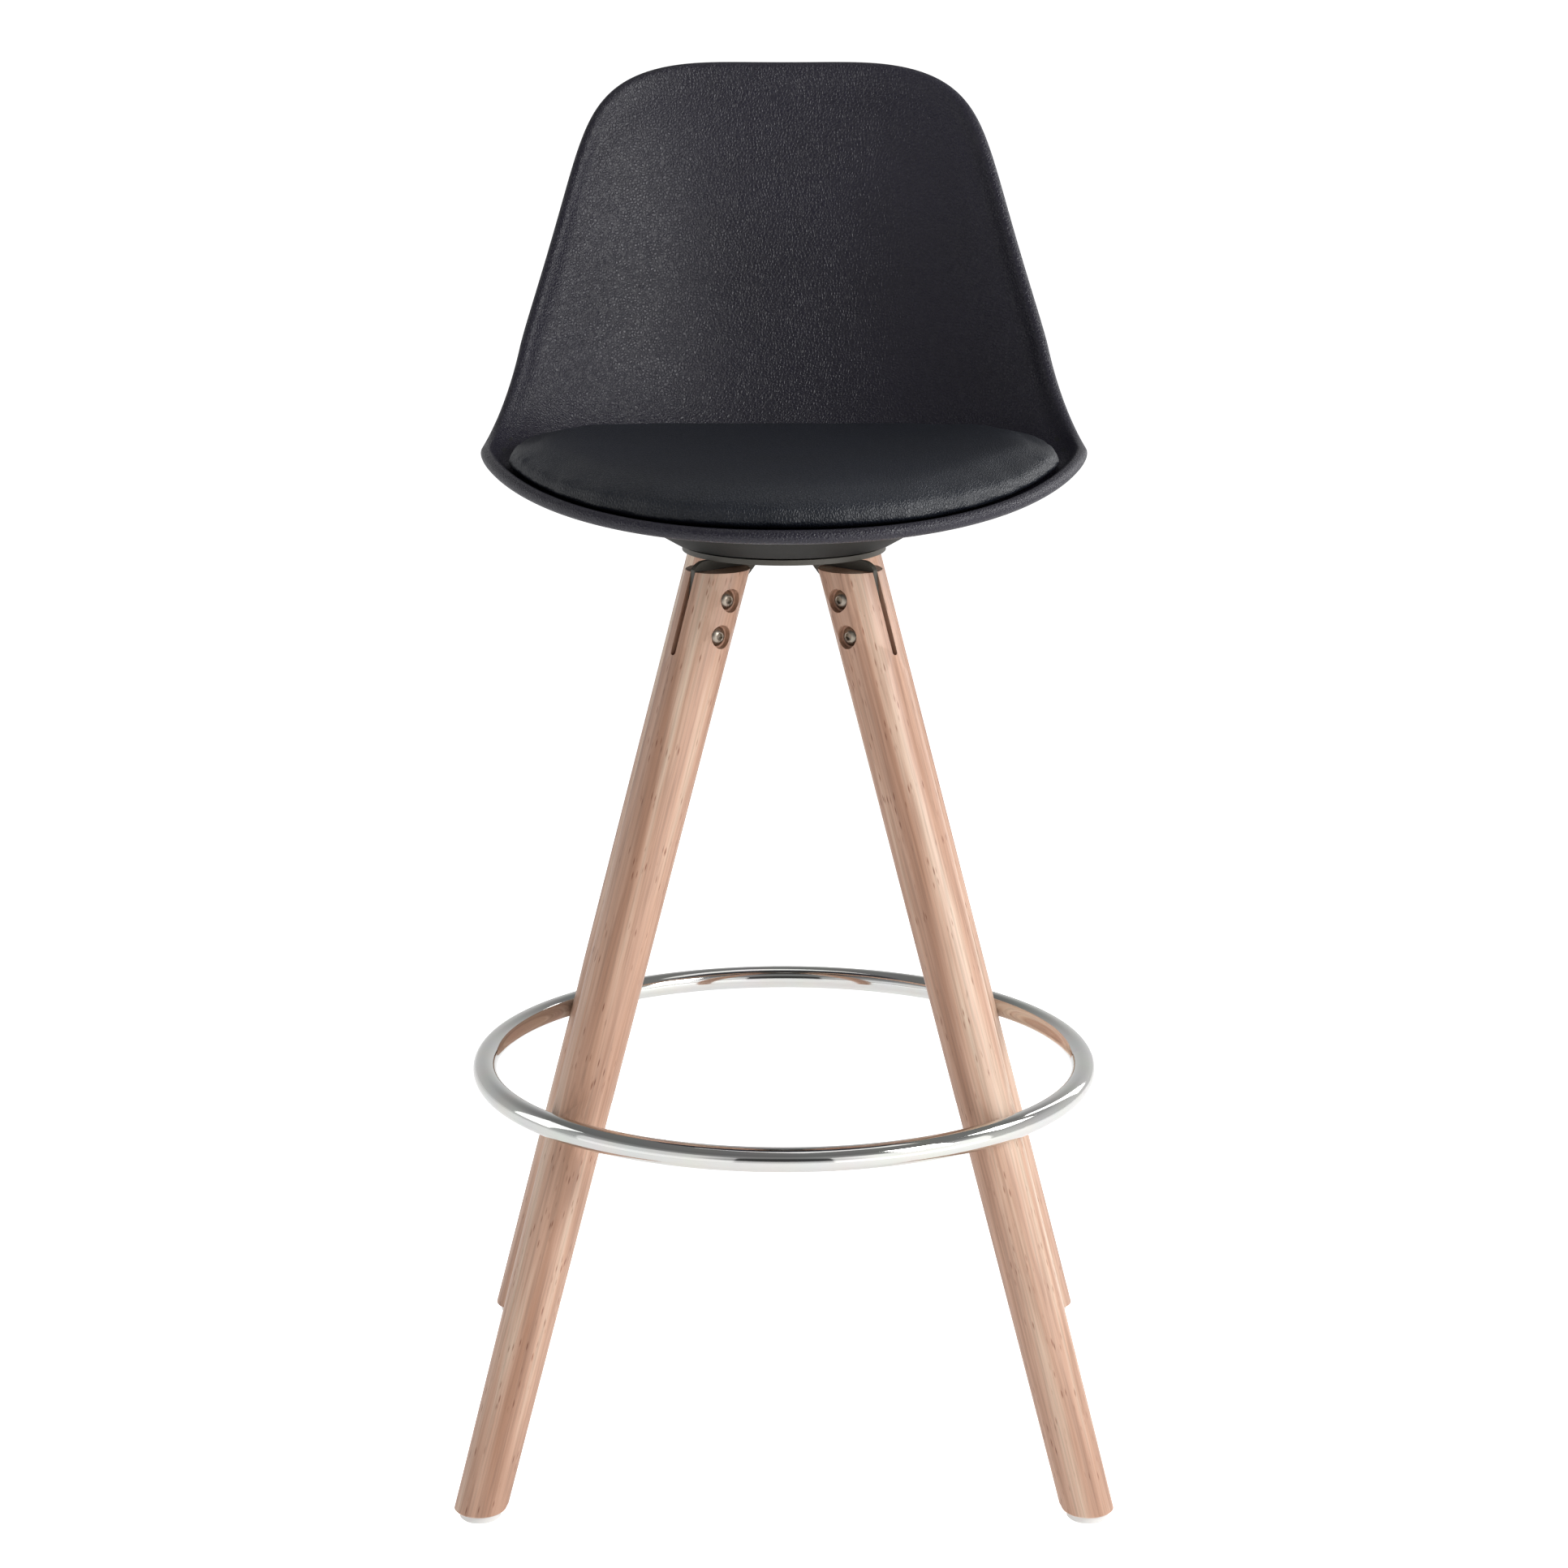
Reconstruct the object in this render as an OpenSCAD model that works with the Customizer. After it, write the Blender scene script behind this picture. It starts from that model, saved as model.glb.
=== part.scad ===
// Bar stool with a footrest ring: an upholstered bucket seat that swivels on four splayed wooden legs.
// Millimetres, +Z up. The front of the seat faces -Y. The origin is on the floor, on the swivel axis.

/* [Legs] */
// Height of the flat leg tops above the floor
leg_top_z = 692.5; // [560:0.5:820]
// Distance of each foot's centre from the swivel axis, at the bottom of the wood
foot_reach = 309.3; // [270:0.1:340]
// Distance of each leg top's centre from the swivel axis
leg_top_reach = 67.5; // [64:0.5:72]
// Angle of the leg planes from the X axis, seen from above
leg_azimuth = 42.6; // [36:0.1:50]
// Leg diameter at the bottom
leg_foot_d = 38.7; // [34:0.1:44]
// Leg diameter at the top
leg_top_d = 47.1; // [42:0.1:52]
// Rounding of the wood's bottom edge
foot_round = 4; // [2:0.5:6]
// Length of the bracket slot, along the leg from the centre of its top
slot_len = 72; // [68:1:90]
// Width of the bracket slot
slot_w = 5; // [4.6:0.1:6]

/* [Glides] */
// Diameter of the plastic glide under each leg
glide_d = 31; // [26:1:34]
// Height of the glide
glide_h = 6; // [4:0.5:9]
// Diameter of the nail that holds a glide
nail_d = 3; // [2:0.5:4]
// Length of the nail
nail_len = 26; // [18:1:34]

/* [Footrest ring] */
// Depth to which the ring is let into the legs
ring_notch = 5.6; // [4:0.1:8]
// Height of the ring's centre line above the floor
ring_z = 290.8; // [285:0.5:296]
// Outer diameter of the ring's tube
ring_tube_d = 18.5; // [16:0.5:22]
// Wall of the ring's tube
ring_wall = 1.5; // [1:0.1:2]
// Diameter of the screws that hold the ring
ring_screw_d = 5; // [4:0.5:6]

/* [Leg bracket] */
// Thickness of the steel fins that stand in the leg slots
fin_t = 4; // [3:0.1:4.4]
// Distance of the first leg bolt from the leg's top, along the leg
bolt_first = 22; // [20:1:24]
// Distance between a leg's two bolts
bolt_pitch = 28; // [24:1:30]
// Diameter of the leg bolts
bolt_d = 6; // [5:0.5:6]
// Outer diameter of the sleeve nuts
sleeve_d = 8; // [8:0.5:9]
// Diameter of the domed heads of bolts and sleeve nuts
head_d = 15; // [13:0.5:16]
// Diameter of the counterbores for the heads
counterbore_d = 18; // [17:0.5:19]

/* [Swivel] */
// Diameter of the lower swivel plate
lower_plate_d = 155.4; // [150:0.1:164]
// Thickness of the lower swivel plate
lower_plate_t = 4; // [3:0.5:6]
// Gap between the leg tops and the lower plate
leg_gap = 7.5; // [6:0.5:10]
// Thickness of the slide ring between the swivel plates
slide_t = 1.6; // [1:0.1:3]
// Thickness of the upper swivel plate
upper_plate_t = 4; // [4:0.5:6]
// Diameter of the upper swivel plate
upper_plate_d = 132; // [126:1:140]
// Diameter of the pivot bolt
pivot_d = 12; // [10:1:14]

/* [Seat shell] */
// Half width of the seat at its hips
hip_half_w = 223; // [200:0.5:240]
// Height of the seat's rim above its middle, at the hips
hip_rise = 54; // [46:1:62]
// Distance of the front edge from the swivel axis
seat_front = 213; // [196:1:224]
// Height of the front edge above the middle of the seat
front_rise = 25.3; // [20:0.1:32]
// Height of the backrest's top edge above the middle of the seat
back_h = 327.7; // [290:0.1:400]
// How far the backrest's top edge is behind the swivel axis
back_lean = 228; // [218:1:234]
// Thickness of the moulded shell
shell_t = 5; // [4:0.5:6]
// Thickness of the leatherette covers
cover_t = 1.2; // [1:0.1:2]
// Height of the round pad under the shell, down from the middle of the seat
pad_h = 10; // [9:0.5:14]

/* [Seat cushion] */
// Height of the cushion's crown above the middle of the seat
cushion_h = 57; // [50:1:64]
// Gap between the cushion and the rim at the hips
cushion_margin = 15; // [12:1:30]

/* [Hidden] */
$fn = 64;
eps = 0.01;

// Clearances
drill_gap = 0.1;      // radial gap of a screw or nail in its hole
running_gap = 0.05;   // radial gap of the pivot in its bush
nest_gap = 0.3;       // gap round parts that are laid into each other

// Directions of the four legs round the Z axis
LEG_ANGLES = [
    180 + leg_azimuth,    // front left
    -leg_azimuth,         // front right
    180 - leg_azimuth,    // rear left
    leg_azimuth           // rear right
];
FRONT_LEFT = 0;
FRONT_RIGHT = 1;
REAR_LEFT = 2;
REAR_RIGHT = 3;

// Heights
wood_bottom_z = glide_h;
leg_drop = leg_top_z - wood_bottom_z;
splay = atan((foot_reach - leg_top_reach) / leg_drop);
leg_len = leg_drop / cos(splay);
lower_plate_z = leg_top_z + leg_gap;
slide_z = lower_plate_z + lower_plate_t;
upper_plate_z = slide_z + slide_t;
web_z = upper_plate_z + upper_plate_t;
web_t = 3;
pad_z = web_z + web_t;
pan_z = pad_z + pad_h;

// Footrest ring: its centre line goes through the legs' outer sides
leg_axis_at_ring = foot_reach - (ring_z - wood_bottom_z) * tan(splay);
leg_r_at_ring = (leg_foot_d + (leg_top_d - leg_foot_d) * (ring_z - wood_bottom_z) / leg_drop) / 2;
ring_r = leg_axis_at_ring + leg_r_at_ring / cos(splay) + ring_tube_d / 2 - ring_notch;

// Mounting collar and pad
collar_foot_r = lower_plate_d / 2 + 2.3;
collar_foot_z = upper_plate_z - 0.1;
collar_lip = [3.4, 0.9];
collar_top_r = collar_foot_r + collar_lip[0] + 32;
collar_top_z = collar_foot_z + collar_lip[1] + 18.5;
pad_r = collar_foot_r + 8;

// Leg bolts: the seats of their heads lie this far from the leg's middle plane
head_h = 4;
head_recess = 2;      // of the head's crown below the leg's surface
head_seat = leg_top_d / 2 - head_recess - head_h;
socket_af = 5;
socket_depth = 2.6;
socket_mouth_d = 8.4;
socket_mouth_h = 0.8;
sleeve_len = head_seat + 8;
bolt_len = head_seat + 10;
sleeve_end_wall = 3;

// Bracket fins, in the plane of a leg
fin_inner_r = 23;
fin_bore_d = sleeve_d + 2 * drill_gap;

// Pivot
pivot_head_d = pivot_d + 10;
pivot_head_h = 3.2;
pivot_washer_d = pivot_d + 12;
pivot_washer_t = 1.4;
pivot_nut_af = pivot_d + 7;
pivot_nut_h = 6;
bush_wall = 2;
slide_inner_r = 22;
slide_outer_r = 46;

// Seat screws
seat_screw_d = 6;
seat_screw_r = 56;
seat_screw_head_d = 12;
seat_screw_head_h = 3;
tee_barrel_d = 8;
tee_flange_d = 18;
tee_flange_t = 1.5;
access_hole_d = 14;

// ---------- seat surface ----------
// The upper face of the seat is spanned between a middle rail and a side rail. Both run from the
// front edge (t = 0) through the pan (0..1) and the bend (1..2) up the backrest (2..3).
hip_t = 1.02;
dish_power = 2.4;
seat_grid = 26;

// Points of the rails in the YZ plane, four to a span
front_lip = [52 - seat_front, front_rise - 6];
pan_back = [0, 0];
bend_end = [172, 69];
MIDDLE_RAIL = [
    [[-seat_front, front_rise], front_lip, [-71, 0], pan_back],
    [pan_back, [100, 0], [150, 11], bend_end],
    [bend_end, [190, 117], [back_lean - 23, back_h - 155], [back_lean, back_h]]
];
side_lift = [0, hip_rise];
front_lift = [0, hip_rise - 12];
side_bend_end = [108, 65.6];
SIDE_RAIL = [
    [[-seat_front, front_rise] + front_lift, front_lip + front_lift, [-71, 0] + side_lift, side_lift],
    [pan_back + side_lift, [48, 0] + side_lift, [80, 16] + side_lift, side_bend_end + side_lift],
    [side_bend_end + side_lift, [129, 99.6] + side_lift,
     [back_lean - 60, back_h - 82], [back_lean - 20, back_h + 11.2]]
];
// Half widths that go with the side rail's points
SIDE_WIDTH = [
    [hip_half_w, hip_half_w, hip_half_w, hip_half_w],
    [hip_half_w, hip_half_w, hip_half_w - 13.7, hip_half_w - 24],
    [hip_half_w - 24, hip_half_w - 32.3, hip_half_w - 66.3, hip_half_w - 75.2]
];

function bezier(p, t) =
    let (s = 1 - t)
    p[0] * s * s * s + p[1] * 3 * s * s * t + p[2] * 3 * s * t * t + p[3] * t * t * t;
function span_of(t) = min(2, max(0, floor(t)));
function on_rail(rail, t) = bezier(rail[span_of(t)], t - span_of(t));
function seat_point(x, t) =
    let (
        share = pow(min(1.2, abs(x) / on_rail(SIDE_WIDTH, t)), dish_power),
        yz = on_rail(MIDDLE_RAIL, t) * (1 - share) + on_rail(SIDE_RAIL, t) * share
    )
    [x, yz[0], pan_z + yz[1]];
function unit(v) = v / norm(v);
function seat_normal(x, t) =
    unit(cross(
        seat_point(x + 0.5, t) - seat_point(x - 0.5, t),
        seat_point(x, t + 0.004) - seat_point(x, t - 0.004)));

// Outlines in (x, t), as functions of the angle a round them: -90 is the front, 90 the top.
function fold(a) = a > 90 ? 180 - a : (a < -90 ? -180 - a : a);
function shell_outline(a) =
    let (
        f = fold(a),
        side = abs(a) > 90 ? -1 : 1,
        s = f >= 0 ? 1 - pow(1 - f / 90, 3) : sin(-f),
        t = f >= 0 ? hip_t + (3 - hip_t) * s : hip_t * (1 - pow(s, 1.16)),
        reach = f >= 0 ? pow(1 - pow(s, 20), 1 / 4) : pow(cos(f), 1.08)
    )
    [side * on_rail(SIDE_WIDTH, t) * reach, t];
cushion_front_t = 0.065;
cushion_rear_t = 1.72;
cushion_mid_t = 0.81;
function cushion_outline(a) =
    let (
        f = fold(a),
        side = abs(a) > 90 ? -1 : 1,
        s = abs(sin(f)),
        t = f >= 0
            ? cushion_mid_t + (cushion_rear_t - cushion_mid_t) * s
            : cushion_mid_t + (cushion_front_t - cushion_mid_t) * pow(s, 1.38),
        reach = f >= 0 ? pow(1 - pow(s, 3.5), 1 / 2.3) : cos(f)
    )
    [side * (hip_half_w - cushion_margin) * reach, t];

// A square grid, i and j from 0 to seat_grid, laid over a round outline without a pole
function disc_uv(i, j) =
    let (a = 2 * i / seat_grid - 1, b = 2 * j / seat_grid - 1)
    [a * sqrt(1 - b * b / 2), b * sqrt(1 - a * a / 2)];
function in_outline(edge, mid_t, r) = [edge[0] * r, mid_t + (edge[1] - mid_t) * r];

shell_mid_t = 1.3;
SHELL_XT = [for (j = [0:seat_grid]) for (i = [0:seat_grid])
    let (uv = disc_uv(i, j))
    in_outline(shell_outline(atan2(uv[1], uv[0])), shell_mid_t, norm(uv))];
function seat_layer(depth) = [for (q = SHELL_XT)
    seat_point(q[0], q[1]) - depth * seat_normal(q[0], q[1])];

// Triangles between a lower and an upper grid of (n + 1) x (n + 1) points
function grid_index(i, j, n, layer) = layer * (n + 1) * (n + 1) + j * (n + 1) + i;
function grid_faces(n) = concat(
    [for (j = [0:n - 1]) for (i = [0:n - 1]) each
        let (
            a = grid_index(i, j, n, 1), b = grid_index(i + 1, j, n, 1),
            c = grid_index(i + 1, j + 1, n, 1), d = grid_index(i, j + 1, n, 1))
        [[a, c, b], [a, d, c]]],
    [for (j = [0:n - 1]) for (i = [0:n - 1]) each
        let (
            a = grid_index(i, j, n, 0), b = grid_index(i + 1, j, n, 0),
            c = grid_index(i + 1, j + 1, n, 0), d = grid_index(i, j + 1, n, 0))
        [[a, b, c], [a, c, d]]],
    [for (k = [0:4 * n - 1]) each
        let (
            p = rim_cell(k, n), q = rim_cell((k + 1) % (4 * n), n),
            a = grid_index(p[0], p[1], n, 0), b = grid_index(q[0], q[1], n, 0),
            c = grid_index(q[0], q[1], n, 1), d = grid_index(p[0], p[1], n, 1))
        [[a, c, b], [a, d, c]]]
);
function rim_cell(k, n) =
    k < n ? [k, 0]
    : k < 2 * n ? [n, k - n]
    : k < 3 * n ? [3 * n - k, n]
    : [0, 4 * n - k];

module between_layers(lower, upper) {
    polyhedron(points = concat(lower, upper), faces = grid_faces(seat_grid), convexity = 6);
}

// ---------- placing ----------
module at_leg(i) {
    rotate([0, 0, LEG_ANGLES[i]]) children();
}

// The leg's own frame: origin at the centre of its top, Z along the leg, X outwards from the swivel
module leg_frame() {
    translate([leg_top_reach, 0, leg_top_z]) rotate([0, -splay, 0]) children();
}

module at_leg_bolts() {
    for (k = [0, 1]) {
        leg_frame() translate([0, 0, -bolt_first - k * bolt_pitch]) children();
    }
}

// Local Z points to the side of the leg that carries the bolt heads
function bolt_side(i) = (i == FRONT_LEFT || i == REAR_RIGHT) ? 1 : -1;

module towards_bolt_head(i) {
    rotate([-90 * bolt_side(i), 0, 0]) children();
}

module at_seat_screws() {
    for (a = [45:90:315]) {
        rotate([0, 0, a]) translate([seat_screw_r, 0, 0]) children();
    }
}

// ---------- legs, glides and footrest ----------
module leg_blank() {
    margin = 30;
    taper = (leg_top_d - leg_foot_d) / 2 / leg_len;
    intersection() {
        leg_frame() translate([0, 0, -leg_len - margin])
            cylinder(
                h = leg_len + 2 * margin,
                r1 = leg_foot_d / 2 - taper * margin,
                r2 = leg_top_d / 2 + taper * margin);
        translate([-400, -400, wood_bottom_z]) cube([1200, 800, leg_drop]);
        foot_rounding();
    }
}

// Keeps everything above the wood's bottom edge and rounds that edge
module foot_rounding() {
    foot_r = leg_foot_d / 2 / cos(splay);
    flat_r = foot_r - foot_round - 0.4;
    translate([foot_reach, 0, wood_bottom_z])
        rotate_extrude() {
            translate([0, 0]) square([flat_r, foot_round]);
            intersection() {
                translate([flat_r, foot_round]) circle(r = foot_round);
                square([flat_r + foot_round, foot_round]);
            }
            polygon([
                [0, foot_round - eps],
                [flat_r + foot_round, foot_round - eps],
                [1000, 640],
                [1000, 1200],
                [0, 1200]
            ]);
        }
}

module bracket_slot() {
    leg_frame() translate([-leg_top_d, 0, slot_w / 2 - slot_len]) {
        translate([0, -slot_w / 2, 0]) cube([2 * leg_top_d, slot_w, slot_len + 30]);
        rotate([0, 90, 0]) cylinder(h = 2 * leg_top_d, d = slot_w);
    }
}

module leg_bolt_holes() {
    at_leg_bolts() {
        rotate([90, 0, 0]) cylinder(h = 3 * leg_top_d, d = sleeve_d + 2 * drill_gap, center = true);
        for (s = [-1, 1]) {
            rotate([90 * s, 0, 0]) translate([0, 0, head_seat]) cylinder(h = leg_top_d, d = counterbore_d);
        }
    }
}

module ring_tube(d) {
    rotate_extrude($fn = 180) translate([ring_r, ring_z]) circle(d = d);
}

// The footrest screws run outwards from the inner side of a leg into the ring's inner wall
ring_screw_head_d = 2 * ring_screw_d;
ring_screw_head_h = 2.6;
ring_screw_start = leg_axis_at_ring - leg_foot_d / 2 + 4;
ring_screw_end = ring_r - ring_tube_d / 2 + ring_wall + 6;

module along_ring_screw(start) {
    translate([start, 0, ring_z]) rotate([0, 90, 0]) children();
}

module leg(i) {
    color("burlywood")
    at_leg(i)
    difference() {
        leg_blank();
        bracket_slot();
        leg_bolt_holes();
        ring_tube(ring_tube_d + 2 * drill_gap);
        along_ring_screw(ring_screw_start) cylinder(h = 80, d = ring_screw_d + 2 * drill_gap);
        along_ring_screw(ring_screw_start - 40) cylinder(h = 40, d = ring_screw_head_d + 1);
        translate([foot_reach, 0, wood_bottom_z - eps])
            cylinder(h = nail_len, d = nail_d + 2 * drill_gap);
    }
}

module glide(i) {
    edge = 1.5;
    color("whitesmoke")
    at_leg(i)
    translate([foot_reach, 0, 0])
    difference() {
        union() {
            cylinder(h = edge, r1 = glide_d / 2 - edge, r2 = glide_d / 2);
            translate([0, 0, edge]) cylinder(h = glide_h - edge, d = glide_d);
        }
        translate([0, 0, -eps]) cylinder(h = glide_h + 1, d = nail_d + 2 * drill_gap);
        translate([0, 0, -eps]) cylinder(h = 2.4 + eps, d = 3 * nail_d);
    }
}

module glide_nails() {
    color("silver")
    for (i = [0:3]) {
        at_leg(i) translate([foot_reach, 0, 0]) {
            translate([0, 0, 1.2]) cylinder(h = 1.2, d = 2.6 * nail_d);
            translate([0, 0, 2.4 - eps]) cylinder(h = nail_len - 3, d = nail_d);
        }
    }
}

module footrest_ring() {
    color("gainsboro")
    difference() {
        ring_tube(ring_tube_d);
        ring_tube(ring_tube_d - 2 * ring_wall);
        for (i = [0:3]) {
            at_leg(i) along_ring_screw(ring_r - ring_tube_d)
                cylinder(h = ring_tube_d, d = ring_screw_d + 2 * drill_gap);
        }
    }
}

module footrest_screws() {
    color("silver")
    for (i = [0:3]) {
        at_leg(i) {
            difference() {
                along_ring_screw(ring_screw_start - ring_screw_head_h)
                    cylinder(h = ring_screw_head_h, d = ring_screw_head_d);
                along_ring_screw(ring_screw_start - ring_screw_head_h - eps)
                    cylinder(h = 1.6, d = 0.6 * ring_screw_d, $fn = 6);
            }
            along_ring_screw(ring_screw_start - eps)
                cylinder(h = ring_screw_end - ring_screw_start, d = ring_screw_d);
        }
    }
}

// ---------- bracket ----------
// A point of a leg's middle plane, from the distance below the leg's top and the offset outwards
function leg_plane_point(down, out) = [
    leg_top_reach + down * sin(splay) + out * cos(splay),
    leg_top_z - down * cos(splay) + out * sin(splay)
];

module fin_outline() {
    half = leg_top_d / 2;
    tip = bolt_first + bolt_pitch + 8;
    shoulder_r = 12;
    outer = leg_plane_point(leg_gap + 3, half - 0.6);
    polygon(concat(
        [[fin_inner_r, lower_plate_z]],
        [for (a = [90:-15:30]) [
            outer[0] - shoulder_r + 1 + shoulder_r * cos(a) * 1.05,
            lower_plate_z - shoulder_r + shoulder_r * sin(a)]],
        [outer],
        [leg_plane_point(34 + leg_gap, half - 7)],
        [for (a = [0:30:90]) leg_plane_point(tip + 6 * sin(a), 6 + 6 * cos(a))],
        [for (a = [0:30:90]) leg_plane_point(tip + 6 * cos(a), -4 - 6 * sin(a))],
        [leg_plane_point(30, -half + 3)],
        [leg_plane_point(leg_gap, -half - 1.5)],
        [[fin_inner_r + 1.5, lower_plate_z - 3]]
    ));
}

module fin(i) {
    color("dimgray")
    at_leg(i)
    difference() {
        rotate([90, 0, 0]) linear_extrude(height = fin_t, center = true) fin_outline();
        at_leg_bolts() rotate([90, 0, 0]) cylinder(h = 3 * fin_t, d = fin_bore_d, center = true);
    }
}

module domed_head() {
    dome_r = (head_d * head_d / 4 + head_h * head_h) / (2 * head_h);
    difference() {
        intersection() {
            translate([0, 0, head_h - dome_r]) sphere(r = dome_r);
            cylinder(h = head_h, d = head_d);
        }
        translate([0, 0, head_h - socket_depth])
            cylinder(h = socket_depth + 1, d = socket_af / cos(30), $fn = 6);
        // the socket's mouth is countersunk
        translate([0, 0, head_h - socket_mouth_h])
            cylinder(
                h = socket_mouth_h + eps,
                d1 = socket_af / cos(30) - eps,
                d2 = socket_mouth_d);
    }
}

module leg_bolts() {
    color("silver")
    for (i = [0:3]) {
        at_leg(i) at_leg_bolts() towards_bolt_head(i) {
            translate([0, 0, head_seat]) domed_head();
            translate([0, 0, head_seat - bolt_len])
                cylinder(h = bolt_len + eps, d = bolt_d - 2 * running_gap);
        }
    }
}

module leg_sleeve_nuts() {
    color("silver")
    for (i = [0:3]) {
        at_leg(i) at_leg_bolts() towards_bolt_head(i) mirror([0, 0, 1])
        difference() {
            union() {
                translate([0, 0, head_seat]) domed_head();
                translate([0, 0, head_seat - sleeve_len]) cylinder(h = sleeve_len + eps, d = sleeve_d);
            }
            translate([0, 0, head_seat - sleeve_len - eps])
                cylinder(h = sleeve_len - sleeve_end_wall, d = bolt_d);
        }
    }
}

// ---------- swivel ----------
module swivel_lower_plate() {
    color("darkslategray")
    translate([0, 0, lower_plate_z])
    difference() {
        cylinder(h = lower_plate_t, d = lower_plate_d, $fn = 180);
        translate([0, 0, -1]) cylinder(h = lower_plate_t + 2, d = pivot_d + 2 * running_gap);
        translate([0, seat_screw_r, -1]) cylinder(h = lower_plate_t + 2, d = access_hole_d);
    }
}

module slide_ring() {
    color("ivory")
    translate([0, 0, slide_z])
    difference() {
        cylinder(h = slide_t, r = slide_outer_r);
        translate([0, 0, -1]) cylinder(h = slide_t + 2, r = slide_inner_r);
    }
}

module pivot_bolt() {
    head_z = web_z + pivot_washer_t;
    stem_z = lower_plate_z - pivot_nut_h - 1;
    color("silver")
    union() {
        translate([0, 0, head_z]) cylinder(h = pivot_head_h, d = pivot_head_d);
        translate([0, 0, stem_z]) cylinder(h = head_z - stem_z + eps, d = pivot_d);
    }
}

module pivot_washer() {
    color("silver")
    translate([0, 0, web_z])
    difference() {
        cylinder(h = pivot_washer_t, d = pivot_washer_d);
        translate([0, 0, -1]) cylinder(h = pivot_washer_t + 2, d = pivot_d + 2 * running_gap);
    }
}

module pivot_nut() {
    color("silver")
    translate([0, 0, lower_plate_z - pivot_nut_h])
    difference() {
        cylinder(h = pivot_nut_h, d = pivot_nut_af / cos(30), $fn = 6);
        translate([0, 0, -1]) cylinder(h = pivot_nut_h + 2, d = pivot_d + 2 * running_gap);
    }
}

module pivot_bush() {
    color("ivory")
    translate([0, 0, upper_plate_z])
    difference() {
        cylinder(h = upper_plate_t, d = pivot_d + 2 * running_gap + 2 * bush_wall);
        translate([0, 0, -1]) cylinder(h = upper_plate_t + 2, d = pivot_d + 2 * running_gap);
    }
}

module swivel_upper_plate() {
    color("dimgray")
    translate([0, 0, upper_plate_z])
    difference() {
        cylinder(h = upper_plate_t, d = upper_plate_d);
        translate([0, 0, -1]) cylinder(h = upper_plate_t + 2, d = pivot_d + 2 * running_gap + 2 * bush_wall);
        at_seat_screws() {
            translate([0, 0, -1]) cylinder(h = upper_plate_t + 2, d = seat_screw_d + 2 * drill_gap);
            translate([0, 0, -eps])
                cylinder(
                    h = seat_screw_head_h + drill_gap,
                    d1 = seat_screw_head_d + 2 * drill_gap,
                    d2 = seat_screw_d + 2 * drill_gap);
        }
    }
}

// A shallow moulded dish: its web is clamped between the upper plate and the shell's pad, and its
// flared wall follows the underside of the seat
module mounting_collar() {
    nest_r = upper_plate_d / 2 + nest_gap;
    pivot_room_r = pivot_washer_d / 2 + 1;
    color("darkslategray")
    difference() {
        rotate_extrude($fn = 180)
        polygon([
            [nest_r, collar_foot_z],
            [collar_foot_r, collar_foot_z],
            [collar_foot_r + collar_lip[0], collar_foot_z + collar_lip[1]],
            [collar_top_r, collar_top_z],
            [pad_r + nest_gap, collar_top_z],
            [pad_r + nest_gap, pad_z],
            [pivot_room_r, pad_z],
            [pivot_room_r, web_z],
            [nest_r, web_z]
        ]);
        above_layer(cover_bottom + 0.2);
        at_seat_screws() translate([0, 0, web_z - 1])
            cylinder(h = web_t + 2, d = seat_screw_d + 2 * drill_gap);
    }
}

module seat_screws() {
    len = pan_z - tee_flange_t - 2 - upper_plate_z;
    color("silver")
    translate([0, 0, upper_plate_z]) at_seat_screws() {
        difference() {
            cylinder(h = seat_screw_head_h, d1 = seat_screw_head_d, d2 = seat_screw_d);
            translate([0, 0, -eps]) cylinder(h = 2, d = 4 / cos(30), $fn = 6);
        }
        translate([0, 0, 2.4]) cylinder(h = len - 2.4, d = seat_screw_d);
    }
}

tee_flange_z = pan_z - cover_t - tee_flange_t - 0.4;

module tee_nuts() {
    color("silver")
    at_seat_screws()
    difference() {
        union() {
            translate([0, 0, tee_flange_z]) cylinder(h = tee_flange_t, d = tee_flange_d);
            translate([0, 0, pad_z]) cylinder(h = tee_flange_z - pad_z + eps, d = tee_barrel_d);
        }
        translate([0, 0, pad_z - 1]) cylinder(h = 20, d = seat_screw_d + 2 * running_gap);
    }
}

// ---------- seat ----------
// The upholstered seat's layers, measured down from its upper face
shell_top = cover_t;
shell_bottom = cover_t + shell_t;
cover_bottom = shell_bottom + cover_t;

// Everything within 60 mm above a layer of the seat
module above_layer(depth) {
    layer = seat_layer(depth);
    between_layers(layer, [for (p = layer) p + [0, 0, 60]]);
}

// A round pad moulded under the shell, which stops inside the shell's wall
module shell_pad() {
    difference() {
        translate([0, 0, pad_z]) cylinder(h = 18, r = pad_r);
        above_layer((shell_top + shell_bottom) / 2);
    }
}

module seat_shell() {
    color("#26252a")
    difference() {
        union() {
            between_layers(seat_layer(shell_bottom), seat_layer(shell_top));
            shell_pad();
        }
        translate([0, 0, pad_z - 1])
            cylinder(h = pivot_washer_t + pivot_head_h - web_t + 1.6, d = pivot_washer_d + 2);
        at_seat_screws() {
            translate([0, 0, pad_z - 1]) cylinder(h = 40, d = tee_barrel_d + 2 * drill_gap);
            translate([0, 0, tee_flange_z]) cylinder(h = 40, d = tee_flange_d + 2 * drill_gap);
        }
    }
}

module inner_cover() {
    color("#2a2930")
    between_layers(seat_layer(shell_top), seat_layer(0));
}

module outer_cover() {
    color("#2a2930")
    difference() {
        between_layers(seat_layer(cover_bottom), seat_layer(shell_bottom));
        translate([0, 0, pad_z - 20]) cylinder(h = 60, r = pad_r + nest_gap);
    }
}

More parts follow.
